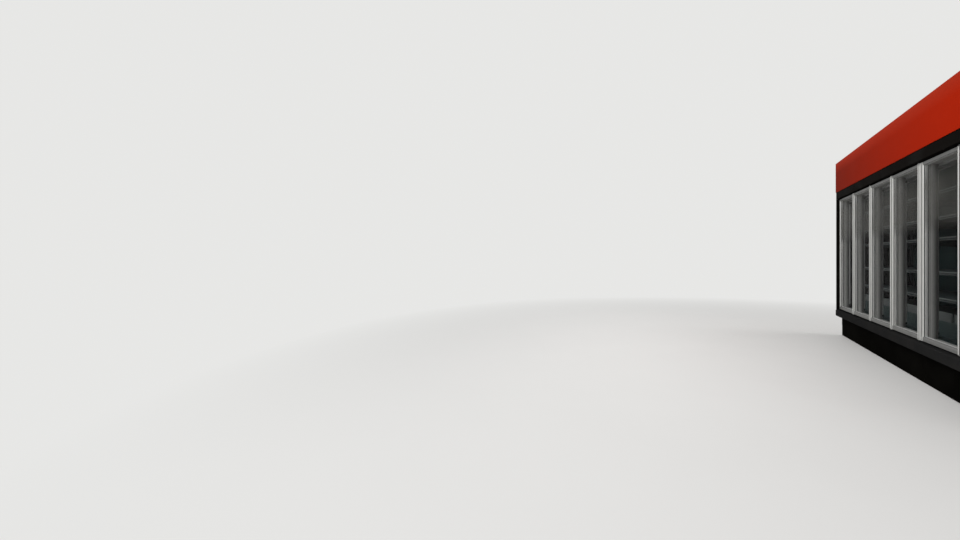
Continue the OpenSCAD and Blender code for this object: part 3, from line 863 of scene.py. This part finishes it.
def foot_threads():
    """Threads on the stems of the levelling feet, and a rubber ring round each disc."""
    low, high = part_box("levelling_feet")
    sill_low, sill_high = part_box("sill")
    split = module_split()
    inset = 0.060
    disc = 0.030
    lift = 0.0004
    turns = 14
    pitch = 0.003
    root, crest = 0.0092, 0.0104
    thread_foot, thread_top = 0.013, 0.055
    thread = []
    for i in range(turns):
        z = thread_foot + i * pitch
        thread += [(root, z), (crest, z + pitch / 2)]
    thread.append((root, thread_top))
    ring = [(disc - 0.001, 0), (disc + 0.0016, 0), (disc + 0.0022, 0.0022),
            (disc + 0.0016, 0.0045), (disc - 0.001, 0.0050)]
    threads = Solids()
    rings = Solids()
    for x in (sill_low.x + inset, (sill_low.x + split) / 2, split - inset, split + inset,
              sill_high.x - inset):
        for y in (low.y + disc, high.y - disc):
            threads.turned((x, y, 0), (0, 0, 1), thread)
            rings.turned((x, y, lift), (0, 0, 1), ring, segments=32)
    smooth(threads.finish("foot_threads", "galvanised", "cabinet"))
    smooth(rings.finish("foot_rings", "black_rubber", "cabinet"))


def joint_strip():
    """Cover strip on the roof, over the gap between the two modules."""
    split = module_split()
    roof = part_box("roof")[1]
    header_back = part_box("header")[1].y
    half = 0.022
    thickness = 0.0015
    front_gap, back_gap = 0.002, 0.001
    s = Solids()
    s.box((split - half, header_back + front_gap, roof.z),
          (split + half, roof.y - back_gap, roof.z + thickness))
    s.finish("joint_strips", "grey_skin", "cabinet", bevel=0.0006)


housing_screws()
foot_threads()
joint_strip()


# Floor, background and light
BACKGROUND = (0.80, 0.80, 0.80 * 0.985, 1)
FLOOR = (0.74, 0.73, 0.715)
FLOOR_FADE = (2.0, 7.5)     # metres from the row's middle, where the floor turns into background
FLOOR_HALF = 60             # metres
SOFT_LIGHT = 0.42


def seen_rays(tree):
    """1 for rays that look at the background: from the camera, a gloss or through glass."""
    path = tree.nodes.new("ShaderNodeLightPath")
    factor = path.outputs["Is Camera Ray"]
    for name in ("Is Glossy Ray", "Is Transmission Ray"):
        either = tree.nodes.new("ShaderNodeMath")
        either.operation = "MAXIMUM"
        tree.links.new(factor, either.inputs[0])
        tree.links.new(path.outputs[name], either.inputs[1])
        factor = either.outputs[0]
    return factor


def build_floor():
    """A pale floor that turns into the background's own colour far from the row."""
    m = Maker("floor", FLOOR, 0.6, IOR=1.2)
    m.paint(m.mix(m.noise(1.5, detail=4), shade(FLOOR, 0.98), shade(FLOOR, 1.02)))
    length = m.add("ShaderNodeVectorMath", operation="LENGTH")
    m.link(m.place, length.inputs[0])
    far = m.spread(length.outputs["Value"], 0, 1, *FLOOR_FADE)
    glow = m.add("ShaderNodeEmission")
    glow.inputs["Color"].default_value = BACKGROUND
    blend = m.add("ShaderNodeMixShader")
    m.link(m.math("MULTIPLY", far, seen_rays(m.tree)), blend.inputs[0])
    m.link(m.bsdf.outputs[0], blend.inputs[1])
    m.link(glow.outputs[0], blend.inputs[2])
    m.link(blend.outputs[0], m.tree.nodes["Material Output"].inputs["Surface"])
    bm = bmesh.new()
    bmesh.ops.create_grid(bm, x_segments=1, y_segments=1, size=FLOOR_HALF)
    mesh = bpy.data.meshes.new("floor")
    bm.to_mesh(mesh)
    bm.free()
    mesh.materials.append(m.mat)
    floor = bpy.data.objects.new("floor", mesh)
    scene.collection.objects.link(floor)


def build_world():
    world = bpy.data.worlds.new("studio")
    scene.world = world
    world.use_nodes = True
    tree = world.node_tree
    out = tree.nodes["World Output"]
    soft = tree.nodes["Background"]
    soft.inputs["Color"].default_value = (1, 1, 1, 1)
    soft.inputs["Strength"].default_value = SOFT_LIGHT
    seen = tree.nodes.new("ShaderNodeBackground")
    seen.inputs["Color"].default_value = BACKGROUND
    mix = tree.nodes.new("ShaderNodeMixShader")
    tree.links.new(seen_rays(tree), mix.inputs[0])
    tree.links.new(soft.outputs[0], mix.inputs[1])
    tree.links.new(seen.outputs[0], mix.inputs[2])
    tree.links.new(mix.outputs[0], out.inputs[0])


def add_light(name, place, target, size, watts):
    data = bpy.data.lights.new(name, "AREA")
    data.shape = "RECTANGLE"
    data.size, data.size_y = size
    data.energy = watts
    light = bpy.data.objects.new(name, data)
    light.location = place
    aim = Vector(target) - Vector(place)
    light.rotation_euler = aim.to_track_quat("-Z", "Y").to_euler()
    scene.collection.objects.link(light)


build_floor()
build_world()
add_light("overhead", (0.5, -3.6, 4.6), (0, -0.2, 1.0), (6, 3), 180)
add_light("side", (6.5, -4.5, 3.2), (0.5, 0, 1.3), (3, 3), 100)
add_light("behind", (-2.5, 4.5, 4.0), (0, 0.3, 1.2), (4, 3), 90)

scene.view_settings.view_transform = "Standard"
